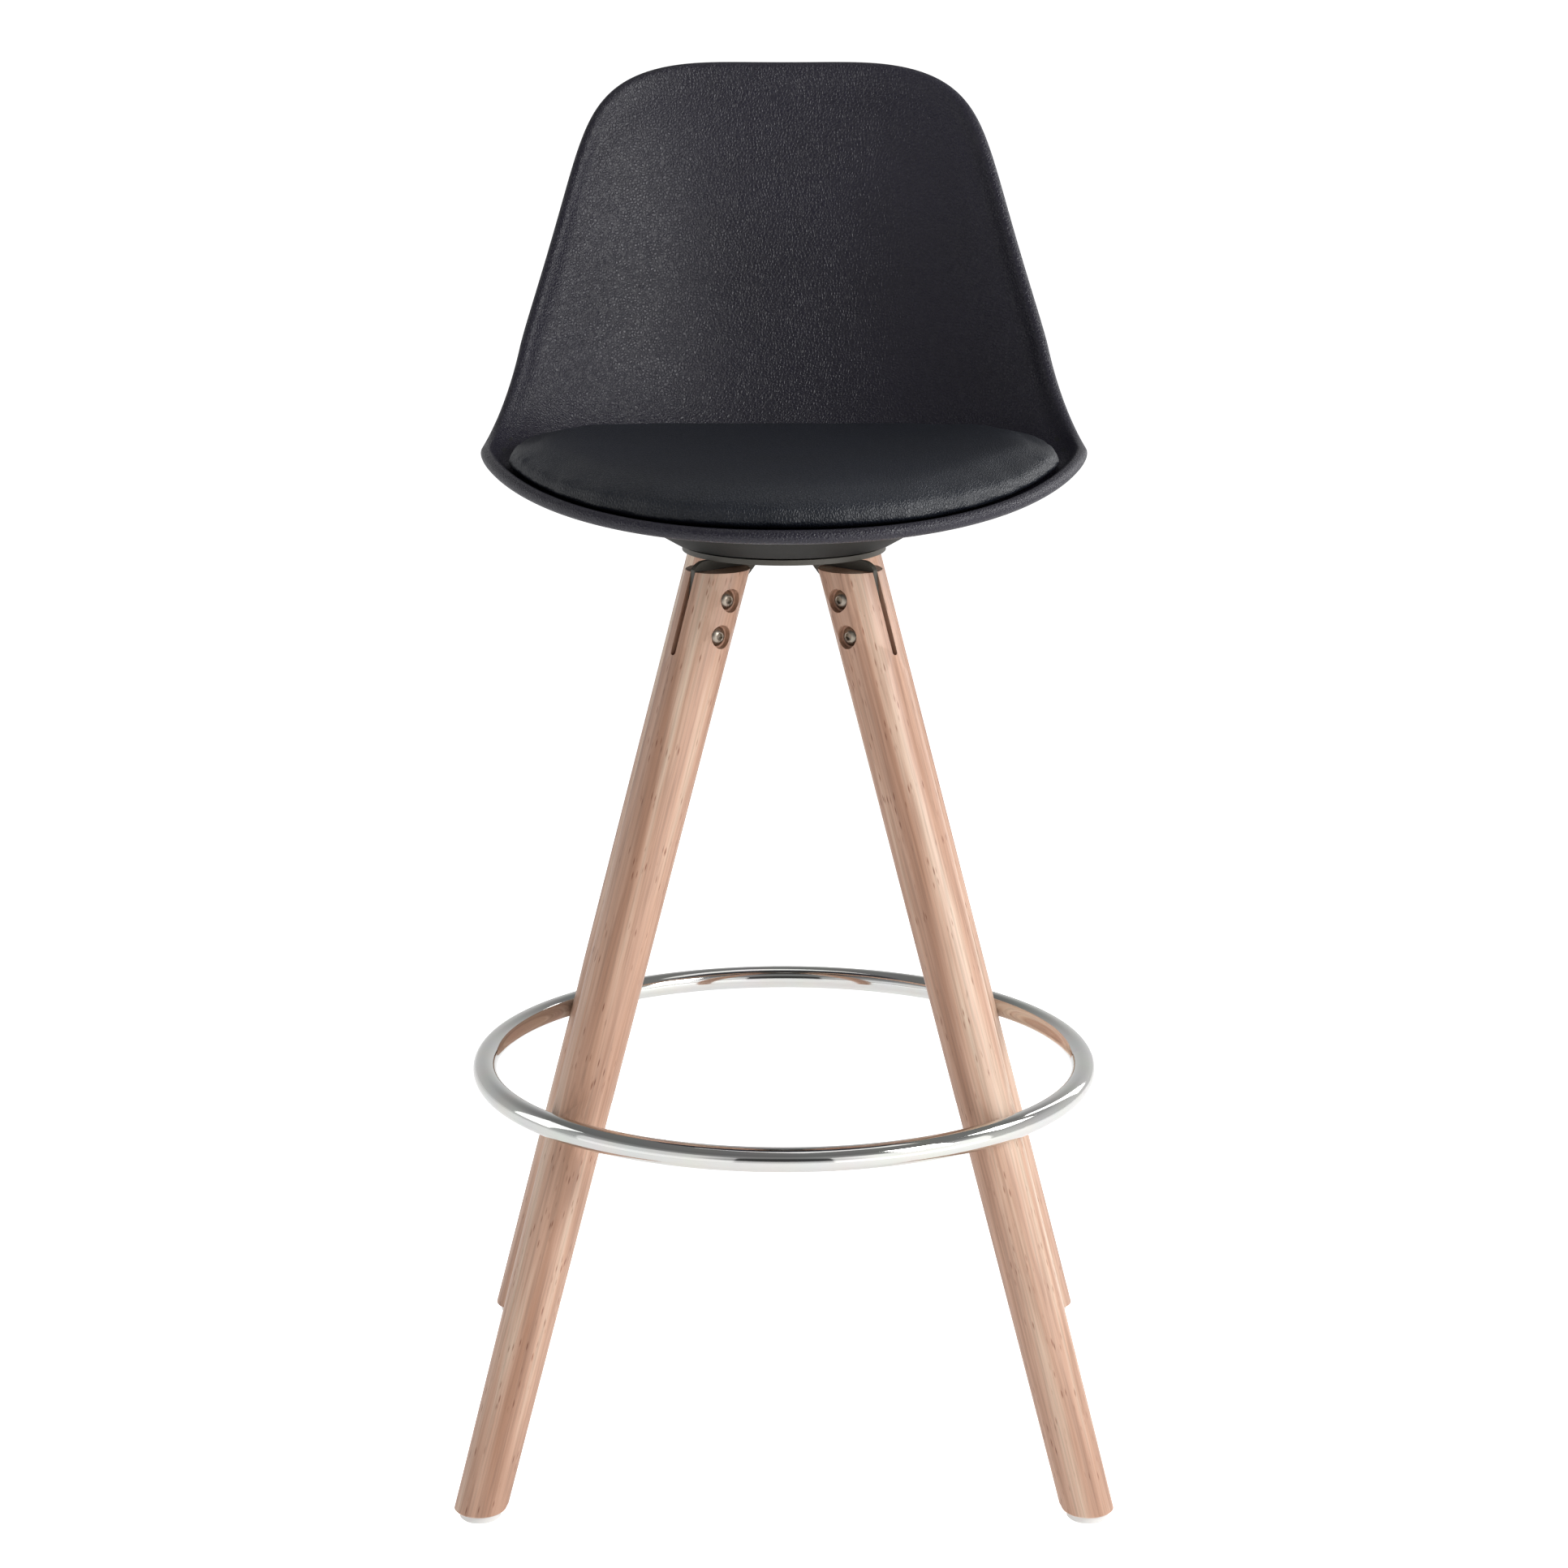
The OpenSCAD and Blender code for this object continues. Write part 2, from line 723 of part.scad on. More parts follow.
// The facets of cushion and cover are different chords of one curve, so the cushion lies this much higher
cushion_lift = 1.6;
cushion_edge_h = 2;
cushion_rear_edge_h = 17.5;

function cushion_bottom(q) = seat_point(q[0], q[1]) + cushion_lift * seat_normal(q[0], q[1]);
function cushion_top(a, r) =
    let (
        q = cushion_outline(a),
        low = cushion_bottom(in_outline(q, cushion_mid_t, r)),
        edge = cushion_bottom(q)[2] + cushion_edge_h
            + (cushion_rear_edge_h - cushion_edge_h) * pow(max(0, sin(a)), 2)
    )
    [low[0], low[1], max(low[2] + 4, pan_z + cushion_h + (edge - pan_z - cushion_h) * pow(r, 3))];

module seat_cushion() {
    polar = [for (j = [0:seat_grid]) for (i = [0:seat_grid])
        let (uv = disc_uv(i, j)) [atan2(uv[1], uv[0]), norm(uv)]];
    color("#22252a")
    between_layers(
        [for (p = polar) cushion_bottom(in_outline(cushion_outline(p[0]), cushion_mid_t, p[1]))],
        [for (p = polar) cushion_top(p[0], p[1])]);
}

leg(FRONT_LEFT);  // leg_front_left
leg(FRONT_RIGHT);  // leg_front_right
leg(REAR_LEFT);  // leg_rear_left
leg(REAR_RIGHT);  // leg_rear_right
glide(FRONT_LEFT);  // glide_front_left
glide(FRONT_RIGHT);  // glide_front_right
glide(REAR_LEFT);  // glide_rear_left
glide(REAR_RIGHT);  // glide_rear_right
glide_nails();
footrest_ring();
footrest_screws();
fin(FRONT_LEFT);  // fin_front_left
fin(FRONT_RIGHT);  // fin_front_right
fin(REAR_LEFT);  // fin_rear_left
fin(REAR_RIGHT);  // fin_rear_right
leg_bolts();
leg_sleeve_nuts();
swivel_lower_plate();
slide_ring();
pivot_bolt();
pivot_washer();
pivot_nut();
swivel_upper_plate();
pivot_bush();
mounting_collar();
seat_screws();
tee_nuts();
seat_shell();
inner_cover();
outer_cover();
seat_cushion();
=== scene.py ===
"""Bar stool: an upholstered bucket seat with a loose cushion, on four beech legs with a chrome
footrest ring. Metres, +Z up, the front of the seat faces -Y."""

import math

import bpy
import numpy as np
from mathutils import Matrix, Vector
from mathutils.bvhtree import BVHTree


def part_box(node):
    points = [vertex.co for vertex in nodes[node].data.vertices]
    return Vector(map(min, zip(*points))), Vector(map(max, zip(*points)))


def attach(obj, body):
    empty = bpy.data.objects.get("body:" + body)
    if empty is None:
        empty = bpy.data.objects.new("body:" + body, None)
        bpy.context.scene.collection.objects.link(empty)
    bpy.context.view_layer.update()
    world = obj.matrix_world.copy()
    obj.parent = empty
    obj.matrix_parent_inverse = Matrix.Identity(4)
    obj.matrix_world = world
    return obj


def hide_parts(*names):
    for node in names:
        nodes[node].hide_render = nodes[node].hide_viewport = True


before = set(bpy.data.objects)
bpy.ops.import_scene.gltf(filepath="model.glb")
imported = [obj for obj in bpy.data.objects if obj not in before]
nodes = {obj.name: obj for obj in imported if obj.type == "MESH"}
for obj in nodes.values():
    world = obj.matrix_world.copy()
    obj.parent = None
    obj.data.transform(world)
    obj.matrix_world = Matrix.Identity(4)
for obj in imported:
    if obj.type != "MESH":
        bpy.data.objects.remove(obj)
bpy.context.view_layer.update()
MM = 0.001

# ---------- camera ----------
CAMERA_PLACE = (0, -2.76, 1.172)
CAMERA_TILT = 0.23362  # radians below the horizontal
CAMERA_LENS = 84.17    # mm, on a 36 mm wide sensor


def make_camera():
    data = bpy.data.cameras.new("camera")
    data.sensor_width = 36
    data.lens = CAMERA_LENS
    camera = bpy.data.objects.new("camera", data)
    camera.location = CAMERA_PLACE
    camera.rotation_euler = (math.pi / 2 - CAMERA_TILT, 0, 0)
    bpy.context.scene.collection.objects.link(camera)
    bpy.context.scene.camera = camera


make_camera()


# ---------- materials ----------
def paint(code):
    """A linear colour from an sRGB hex value."""
    parts = [int(code[i : i + 2], 16) / 255 for i in (1, 3, 5)]
    return [c / 12.92 if c <= 0.04045 else ((c + 0.055) / 1.055) ** 2.4 for c in parts] + [1.0]


def feed(node, **links):
    """Sets a node's inputs. A name has _ for each space, or is i0, i1 ... for an input by number,
    and its value is a number, a colour or another node's output."""
    for name, value in links.items():
        numbered = name[0] == "i" and name[1:].isdigit()
        socket = node.inputs[int(name[1:]) if numbered else name.replace("_", " ")]
        if isinstance(value, bpy.types.NodeSocket):
            node.id_data.links.new(value, socket)
        else:
            socket.default_value = value


def set_stops(band, stops):
    """Gives a colour ramp its stops: pairs of a position and a hex colour or a grey."""
    while len(band.elements) < len(stops):
        band.elements.new(0.5)
    for element, (place, value) in zip(band.elements, stops):
        element.position = place
        element.color = paint(value) if isinstance(value, str) else (value, value, value, 1)


def add(tree, kind, settings=None, **links):
    """Adds a node. Settings are its own properties, or the stops of a colour ramp."""
    node = tree.nodes.new(kind)
    for name, value in (settings or {}).items():
        if name == "stops":
            set_stops(node.color_ramp, value)
        else:
            setattr(node, name, value)
    feed(node, **links)
    return node


def new_material(name):
    material = bpy.data.materials.new(name)
    material.use_nodes = True
    tree = material.node_tree
    shader = next(n for n in tree.nodes if n.type == "BSDF_PRINCIPLED")
    return material, tree, shader


def leatherette(name, dark, light, roughness, grain_mm, depth_mm, stretch=(1, 1, 1)):
    """PVC leatherette embossed with a pebble grain: satin, with a broken highlight, and a little
    lighter where it has been rubbed. Real pebbles are about 1 mm across. They are drawn more than
    twice as coarse, or they would not show. A stretch below 1 draws them out along that axis."""
    material, tree, shader = new_material(name)
    place = add(tree, "ShaderNodeTexCoord").outputs["Object"]
    place = add(tree, "ShaderNodeMapping", Vector=place, Scale=stretch).outputs["Vector"]
    # pebbles with creases between them, bent by up to 0.5 mm over about 4 mm
    warp = add(tree, "ShaderNodeTexNoise", Vector=place, Scale=260, Detail=1, Roughness=0.5)
    bent = add(
        tree, "ShaderNodeMixRGB", {"blend_type": "ADD"},
        i0=0.5 * MM, i1=place, i2=warp.outputs["Color"])
    pebbles = add(
        tree, "ShaderNodeTexVoronoi", {"feature": "DISTANCE_TO_EDGE"},
        Vector=bent.outputs["Color"], Scale=1000 / grain_mm, Randomness=1.0)
    domes = add(
        tree, "ShaderNodeMapRange", {"interpolation_type": "SMOOTHSTEP"},
        Value=pebbles.outputs["Distance"], From_Min=0.0, From_Max=0.28, To_Min=0.0, To_Max=1.0)
    # pores, 0.4 mm apart, on top of the pebbles
    pores = add(tree, "ShaderNodeTexNoise", Vector=place, Scale=2600, Detail=2, Roughness=0.6)
    height = add(
        tree, "ShaderNodeMath", {"operation": "MULTIPLY_ADD"},
        i0=pores.outputs["Fac"], i1=0.35, i2=domes.outputs["Result"])
    # rubbed patches about 140 mm across, and lighter tops on the pebbles
    wear = add(tree, "ShaderNodeTexNoise", Vector=place, Scale=7, Detail=4, Roughness=0.55)
    tone = add(
        tree, "ShaderNodeMath", {"operation": "MULTIPLY_ADD"},
        i0=domes.outputs["Result"], i1=0.25, i2=wear.outputs["Fac"])
    colour = add(
        tree, "ShaderNodeValToRGB", {"stops": [(0.3, dark), (0.9, light)]},
        Fac=tone.outputs["Value"])
    gloss = add(
        tree, "ShaderNodeMapRange", Value=height.outputs["Value"],
        From_Min=0.0, From_Max=1.3, To_Min=roughness + 0.12, To_Max=roughness)
    bump = add(
        tree, "ShaderNodeBump", Strength=0.8, Distance=depth_mm * MM,
        Height=height.outputs["Value"])
    feed(
        shader, Base_Color=colour.outputs["Color"], Roughness=gloss.outputs["Result"],
        Normal=bump.outputs["Normal"], IOR=1.5)
    return material


def beech(name, direction, offset, shade):
    """Steamed beech, turned and satin lacquered: pinkish, with fine straight grain along the leg,
    soft broad colour bands and short dark ray flecks. A higher shade gives more dark bands."""
    material, tree, shader = new_material(name)
    place = add(tree, "ShaderNodeTexCoord").outputs["Object"]
    turn = Vector(direction).normalized().rotation_difference(Vector((0, 0, 1))).to_euler()
    along = add(
        tree, "ShaderNodeMapping", Vector=place, Location=offset, Rotation=turn
    ).outputs["Vector"]
    # growth rings cut lengthwise: bands about 6 mm wide, drawn out along the leg
    long = add(tree, "ShaderNodeMapping", Vector=along, Scale=(1, 1, 0.035)).outputs["Vector"]
    bands = add(
        tree, "ShaderNodeTexNoise",
        Vector=long, Scale=80, Detail=4, Roughness=0.55, Distortion=0.2)
    # fibres, really about 0.1 mm wide: drawn 0.8 mm wide, or they would not show
    thin = add(tree, "ShaderNodeMapping", Vector=along, Scale=(1, 1, 0.022)).outputs["Vector"]
    fibres = add(tree, "ShaderNodeTexNoise", Vector=thin, Scale=620, Detail=2, Roughness=0.6)
    # ray flecks, in patches about 13 mm across: drawn 0.9 mm by 6 mm, twice as coarse as real
    # ones, for the same reason
    short = add(tree, "ShaderNodeMapping", Vector=along, Scale=(1, 1, 0.15)).outputs["Vector"]
    flecks = add(
        tree, "ShaderNodeTexVoronoi", {"feature": "F1"}, Vector=short, Scale=400, Randomness=1.0)
    patches = add(tree, "ShaderNodeTexNoise", Vector=along, Scale=38, Detail=2)
    # shade moves the bands towards the dark one: the leg's own tone, and painted shade too
    base_stops = [(0.32 + shade, "#ad836b"), (0.50 + shade, "#c8a18a"), (0.68 + shade, "#dcc3ad")]
    base = add(tree, "ShaderNodeValToRGB", {"stops": base_stops}, Fac=bands.outputs["Fac"])
    fibre_tone = add(
        tree, "ShaderNodeValToRGB", {"stops": [(0.34, 0.68), (0.56, 1.0)]},
        Fac=fibres.outputs["Fac"])
    fleck_tone = add(
        tree, "ShaderNodeValToRGB", {"stops": [(0.10, "#a87c66"), (0.26, "#ffffff")]},
        Fac=flecks.outputs["Distance"])
    fleck_share = add(
        tree, "ShaderNodeValToRGB", {"stops": [(0.45, 0.0), (0.58, 0.8)]},
        Fac=patches.outputs["Fac"])
    fibrous = add(
        tree, "ShaderNodeMixRGB", {"blend_type": "MULTIPLY"},
        i0=0.62, i1=base.outputs["Color"], i2=fibre_tone.outputs["Color"])
    flecked = add(
        tree, "ShaderNodeMixRGB", {"blend_type": "MULTIPLY"}, i0=fleck_share.outputs["Color"],
        i1=fibrous.outputs["Color"], i2=fleck_tone.outputs["Color"])
    gloss = add(
        tree, "ShaderNodeMapRange", Value=fibres.outputs["Fac"],
        From_Min=0.2, From_Max=0.8, To_Min=0.46, To_Max=0.34)
    bump = add(
        tree, "ShaderNodeBump", Strength=0.25, Distance=0.2 * MM, Height=fibres.outputs["Fac"])
    feed(
        shader, Base_Color=flecked.outputs["Color"], Roughness=gloss.outputs["Result"],
        Normal=bump.outputs["Normal"], IOR=1.5)
    return material


def metal(name, colour, roughness, spread, grain_mm, bump_mm):
    """A metal surface whose roughness and height vary with a grain of the given size."""
    material, tree, shader = new_material(name)
    place = add(tree, "ShaderNodeTexCoord").outputs["Object"]
    grain = add(
        tree, "ShaderNodeTexNoise", Vector=place, Scale=1000 / grain_mm, Detail=3, Roughness=0.6)
    # handling clouds the metal a little, in patches about 30 mm across
    cloud = add(tree, "ShaderNodeTexNoise", Vector=place, Scale=30, Detail=3)
    tone = add(
        tree, "ShaderNodeMixRGB", {"blend_type": "MULTIPLY"},
        i0=0.12, i1=paint(colour), i2=cloud.outputs["Color"])
    gloss = add(
        tree, "ShaderNodeMapRange", Value=grain.outputs["Fac"],
        From_Min=0.3, From_Max=0.7, To_Min=roughness, To_Max=roughness + spread)
    bump = add(
        tree, "ShaderNodeBump", Strength=0.2, Distance=bump_mm * MM, Height=grain.outputs["Fac"])
    feed(
        shader, Base_Color=tone.outputs["Color"], Roughness=gloss.outputs["Result"],
        Normal=bump.outputs["Normal"], Metallic=1.0)
    return material


def plastic(name, dark, light, roughness, grain_mm, bump_mm):
    """Plastic, or another coloured surface, with a fine even texture of the given size."""
    material, tree, shader = new_material(name)
    place = add(tree, "ShaderNodeTexCoord").outputs["Object"]
    grain = add(
        tree, "ShaderNodeTexNoise", Vector=place, Scale=1000 / grain_mm, Detail=2, Roughness=0.6)
    # the colour varies in patches about 50 mm across
    cloud = add(tree, "ShaderNodeTexNoise", Vector=place, Scale=18, Detail=3)
    colour = add(
        tree, "ShaderNodeValToRGB", {"stops": [(0.3, dark), (0.7, light)]},
        Fac=cloud.outputs["Fac"])
    gloss = add(
        tree, "ShaderNodeMapRange", Value=grain.outputs["Fac"],
        From_Min=0.3, From_Max=0.7, To_Min=roughness, To_Max=roughness + 0.1)
    bump = add(
        tree, "ShaderNodeBump", Strength=0.4, Distance=bump_mm * MM, Height=grain.outputs["Fac"])
    feed(
        shader, Base_Color=colour.outputs["Color"], Roughness=gloss.outputs["Result"],
        Normal=bump.outputs["Normal"], IOR=1.49)
    return material


# Embossed PVC leatherette: the shell's is violet black, and the cushion's a colder black with a
# finer, flatter grain that the filling pulls tight.
shell_skin = leatherette(
    "pvc_leatherette_embossed_shell", "#120f1c", "#1a1727", 0.33, 2.4, 0.34)
cushion_skin = leatherette(
    "pvc_leatherette_embossed_cushion", "#0c1018", "#141924", 0.38, 2.1, 0.26, (1.0, 1.0, 0.6))
# Twisted polyester sewing thread: dull black, with fibres that blur its highlight.
seam_thread = plastic("polyester_thread_twisted", "#18181a", "#232326", 0.55, 0.3, 0.04)
# Polished chrome plate over steel: a nearly perfect mirror with a faint ripple.
chrome = metal("steel_chrome_plated", "#dcdcd9", 0.05, 0.03, 2.0, 0.002)
# Satin nickel plate: warm grey, with soft broad highlights.
nickel = metal("steel_nickel_plated", "#a69c90", 0.26, 0.12, 0.6, 0.01)
# Bright zinc plate: bluish grey and slightly grainy.
zinc = metal("steel_zinc_plated", "#b9bbbe", 0.3, 0.15, 0.5, 0.01)
# Powder coated steel: dark warm grey and satin, with an orange peel about 1.2 mm across.
bracket_coat = plastic("steel_powder_coated", "#45423b", "#534f47", 0.42, 1.2, 0.05)
# Injection moulded polypropylene from an eroded mould: matt, with soft dull highlights.
collar_plastic = plastic(
    "polypropylene_dark_grey_moulded", "#0d0e0c", "#131411", 0.68, 0.5, 0.03)
shell_plastic = plastic("polypropylene_black_moulded", "#161618", "#1f1f22", 0.45, 0.5, 0.03)
# Injection moulded polyethylene: milky white and waxy.
glide_plastic = plastic("polyethylene_white_moulded", "#dcdcda", "#e8e8e6", 0.4, 0.8, 0.02)
# Machined acetal: creamy white, smooth and slippery.
acetal = plastic("acetal_machined", "#d2d0c8", "#dedcd5", 0.35, 0.4, 0.02)

LEG_TOP_REACH = 67.5 * MM   # from the stool's middle to the middle of a leg's top
LEG_DROP = 0.6865           # from there down to its glide
# each leg's wood darkening: partly its board's own tone, partly painted shade on the front left leg
LEG_TONES_AND_PAINTED_SHADE = {
    "leg_front_left": 0.04,
    "leg_front_right": 0.01,
    "leg_rear_left": 0.0,
    "leg_rear_right": 0.03,
}
NODE_FINISHES = {
    "footrest_ring": chrome,
    "footrest_screws": zinc,
    "glide_nails": zinc,
    "leg_bolts": nickel,
    "leg_sleeve_nuts": nickel,
    "swivel_lower_plate": bracket_coat,
    "swivel_upper_plate": bracket_coat,
    "slide_ring": acetal,
    "pivot_bush": acetal,
    "pivot_bolt": zinc,
    "pivot_washer": zinc,
    "pivot_nut": zinc,
    "mounting_collar": collar_plastic,
    "seat_screws": zinc,
    "tee_nuts": zinc,
    "seat_shell": shell_plastic,
}


def finish_node(name, material):
    mesh = nodes[name].data
    mesh.materials.clear()
    mesh.materials.append(material)


def leg_direction(leg):
    """The way a leg runs, from its top to its glide."""
    low, high = (np.array(c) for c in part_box(leg.replace("leg_", "glide_")))
    foot = (low + high) / 2
    top = foot * (LEG_TOP_REACH / math.hypot(foot[0], foot[1]))
    return (foot[0] - top[0], foot[1] - top[1], -LEG_DROP)


def finish_nodes():
    for number, (leg, shade) in enumerate(LEG_TONES_AND_PAINTED_SHADE.items()):
        # each leg is cut from another place in the board
        start = (0.13 * number, 0.37 * number, 0.71 * number)
        finish_node(
            leg, beech("beech_turned_" + leg[len("leg_"):], leg_direction(leg), start, shade))
        finish_node(leg.replace("leg_", "glide_"), glide_plastic)
        finish_node(leg.replace("leg_", "fin_"), bracket_coat)
    for name, material in NODE_FINISHES.items():
        finish_node(name, material)


finish_nodes()

# ---------- seat surface ----------
# The upper face of the seat is spanned between a middle rail and a side rail, as in the part's
# source. Both run from the front edge (t = 0) through the pan (0..1) and the bend (1..2) up the
# back (2..3), each a row of three cubic curves in the plane of Y and Z.
PAN_Z = 0.7226
DISH = 2.4     # the power with which the face rises from the middle rail to the side rail
HIP_T = 1.02   # where the seat is widest
TOP_T = 3      # the rails' end, at the top of the back
MIDDLE_RAIL = np.array([
    [(-213, 25.3), (-161, 19.3), (-71, 0), (0, 0)],
    [(0, 0), (100, 0), (150, 11), (172, 69)],
    [(172, 69), (190, 117), (205, 172.7), (228, 327.7)]]) * MM
SIDE_RAIL = np.array([
    [(-213, 67.3), (-161, 61.3), (-71, 54), (0, 54)],
    [(0, 54), (48, 54), (80, 70), (108, 119.6)],
    [(108, 119.6), (129, 153.6), (168, 245.7), (208, 338.9)]]) * MM
SIDE_WIDTH = np.array([
    [223, 223, 223, 223],
    [223, 223, 209.3, 199],
    [199, 190.7, 156.7, 147.8]]) * MM


def on_rail(rail, t):
    t = np.asarray(t, float)
    span = np.clip(np.floor(t), 0, 2).astype(int)
    u = t - span
    weights = np.stack([(1 - u) ** 3, 3 * u * (1 - u) ** 2, 3 * u * u * (1 - u), u**3], -1)
    points = rail[span]
    if points.ndim > weights.ndim:
        weights = weights[..., None]
        return (points * weights).sum(-2)
    return (points * weights).sum(-1)


def seat_point(x, t):
    share = np.minimum(1.2, np.abs(x) / on_rail(SIDE_WIDTH, t)) ** DISH
    yz = on_rail(MIDDLE_RAIL, t) * (1 - share)[..., None] + on_rail(SIDE_RAIL, t) * share[..., None]
    return np.stack([x, yz[..., 0], PAN_Z + yz[..., 1]], -1)


def unit(v):
    return v / np.linalg.norm(v, axis=-1, keepdims=True)


def seat_normal(x, t):
    across = seat_point(x + 0.5 * MM, t) - seat_point(x - 0.5 * MM, t)
    along = seat_point(x, t + 0.004) - seat_point(x, t - 0.004)
    return unit(np.cross(across, along))


# The outlines are given by an angle in degrees: 0 is the side at +X, 90 the top of the back and
# -90 the front. The side at -X mirrors it.
CLIMB_POWER = 3               # how early the cover's outline climbs the back
CORNER_POWERS = (20, 0.25)    # how square its top corners are
FRONT_POWERS = (1.16, 1.08)   # how full its front is, along the rails and across
CUSHION_HALF_W = 0.208
CUSHION_FRONT_T = 0.065
CUSHION_MID_T = 0.81          # where the cushion is widest, and the middle of its grid
CUSHION_REAR_T = 1.72
CUSHION_FRONT_POWER = 1.38
CUSHION_REAR_POWERS = (3.5, 1 / 2.3)


def fold(a):
    return np.where(a > 90, 180 - a, np.where(a < -90, -180 - a, a))


def mirror_sign(a):
    return np.where(np.abs(a) > 90, -1.0, 1.0)


def shell_outline(a):
    """Across (x) and along the rails (t): square shoulders at the top, and a round front."""
    f = fold(a)
    climb = 1 - (1 - np.maximum(f, 0) / 90) ** CLIMB_POWER
    fall = np.sin(np.radians(np.maximum(-f, 0)))
    t = np.where(f >= 0, HIP_T + (TOP_T - HIP_T) * climb, HIP_T * (1 - fall ** FRONT_POWERS[0]))
    reach = np.where(
        f >= 0,
        np.maximum(0, 1 - climb ** CORNER_POWERS[0]) ** CORNER_POWERS[1],
        np.maximum(0, np.cos(np.radians(f))) ** FRONT_POWERS[1])
    return mirror_sign(a) * on_rail(SIDE_WIDTH, t) * reach, t


def cushion_outline(a):
    """The same for the cushion: a full curve at the rear, and a half round front."""
    f = fold(a)
    s = np.abs(np.sin(np.radians(f)))
    t = np.where(
        f >= 0,
        CUSHION_MID_T + (CUSHION_REAR_T - CUSHION_MID_T) * s,
        CUSHION_MID_T + (CUSHION_FRONT_T - CUSHION_MID_T) * s**CUSHION_FRONT_POWER)
    reach = np.where(
        f >= 0,
        np.maximum(0, 1 - s ** CUSHION_REAR_POWERS[0]) ** CUSHION_REAR_POWERS[1],
        np.maximum(0, np.cos(np.radians(f))))
    return mirror_sign(a) * CUSHION_HALF_W * reach, t


# ---------- meshes ----------
def disc_grid(n):
    """Angle and radius of a square grid laid over a disc, so that the middle has no pole."""
    a, b = np.meshgrid(np.linspace(-1, 1, n + 1), np.linspace(-1, 1, n + 1))
    u, v = a * np.sqrt(1 - b * b / 2), b * np.sqrt(1 - a * a / 2)
    return np.degrees(np.arctan2(v, u)), np.minimum(1, np.hypot(u, v))


def rim_walk(n):
    """Indices of the grid's border points, once round, anticlockwise seen from above."""
    w = n + 1
    south = [i for i in range(n)]
    east = [j * w + n for j in range(n)]
    north = [n * w + n - i for i in range(n)]
    west = [(n - j) * w for j in range(n)]
    return np.array(south + east + north + west)


def grid_quads(n, flip=False):
    w = n + 1
    quads = []
    for j in range(n):
        for i in range(n):
            q = (j * w + i, j * w + i + 1, (j + 1) * w + i + 1, (j + 1) * w + i)
            quads.append(q[::-1] if flip else q)
    return quads


def join_rows(rows):
    """Quads between closed rows of equal length, each row a list of indices."""
    quads = []
    for low, high in zip(rows[:-1], rows[1:]):
        count = len(low)
        for k in range(count):
            m = (k + 1) % count
            quads.append((low[k], low[m], high[m], high[k]))
    return quads


def make_mesh(name, points, faces):
    mesh = bpy.data.meshes.new(name)
    mesh.from_pydata([tuple(p) for p in points], [], faces)
    mesh.validate()
    mesh.polygons.foreach_set("use_smooth", [True] * len(mesh.polygons))
    mesh.update()
    piece = bpy.data.objects.new(name, mesh)
    bpy.context.scene.collection.objects.link(piece)
    return piece


def apply_modifiers(piece):
    """Keeps the shape that the modifiers give, as a plain mesh."""
    seen = piece.evaluated_get(bpy.context.evaluated_depsgraph_get())
    mesh = bpy.data.meshes.new_from_object(seen)
    piece.modifiers.clear()
    old = piece.data
    mesh.name = old.name + "_made"
    piece.data = mesh
    bpy.data.meshes.remove(old)


# ---------- upholstery ----------
COVER_GRID = 104        # squares along each side of the cover's grid
SHELL_MID_T = 1.3       # the middle of that grid
ROLL_R = 5.0 * MM       # rolled edge of the leatherette
ROLL_DEPTH = 3.7 * MM   # its middle, below the seat's upper face
COVER_DEPTH = 7.4 * MM  # the underside, below the upper face
BORDER = 30 * MM        # width of the border that is shaped row by row
SEAM_INSET = 11 * MM    # from the outline to the seam on the underside
OPENING_R = 88.4 * MM   # hole in the underside for the shell's pad
OPENING_Z = (0.70, 0.7216)
# height, distance from the outline and width of what the border swells or sinks by, in mm
ROLL = (1.3, 0, 5.0)
VALLEY = (-0.65, 9.5, 5.5)
GROOVE = (-0.5, SEAM_INSET / MM, 1.6)


def edge_reach(x, t):
    """How far the outline is from the middle of the cover."""
    return np.linalg.norm(seat_point(x, t) - seat_point(0 * x, 0 * t + SHELL_MID_T), axis=-1)


def edge_scale(x, t, inset):
    """The share of the way from the middle to the outline that leaves an inset."""
    return 1 - inset / edge_reach(x, t)


def inside(x, t, r):
    return x * r, SHELL_MID_T + (t - SHELL_MID_T) * r


def hump(d, height, middle, width):
    return height * np.exp(-(((d - middle) / width) ** 2))


def inner_profile(d):
    """Height of the padded inside over the seat's upper face, at a distance d from the outline:
    the rolled edge falls into a soft valley where the cover is glued, and then the foam swells."""
    d = d / MM
    swell = 1.2 * (1 - np.exp(-((d / 19) ** 3))) - 0.3 * (1 - hump(d, 1, 0, 45))
    return (hump(d, *ROLL) + hump(d, *VALLEY) + swell) * MM


def outer_profile(d):
    """The same for the underside, where the seam lies in a groove."""
    d = d / MM
    return (hump(d, *ROLL) + hump(d, *GROOVE)) * MM


def face_grid(n, profile, depth, side):
    angle, radius = disc_grid(n)
    x, t = shell_outline(angle)
    reach = edge_reach(x, t)
    r = radius * edge_scale(x, t, BORDER)
    x, t = inside(x, t, r)
    lift = side * profile((1 - r) * reach) - depth
    return (seat_point(x, t) + lift[..., None] * seat_normal(x, t)).reshape(-1, 3)


def face_row(a, d, profile, depth, side):
    x, t = shell_outline(a)
    x, t = inside(x, t, edge_scale(x, t, d))
    lift = side * profile(np.full_like(x, d)) - depth
    return seat_point(x, t) + lift[..., None] * seat_normal(x, t)


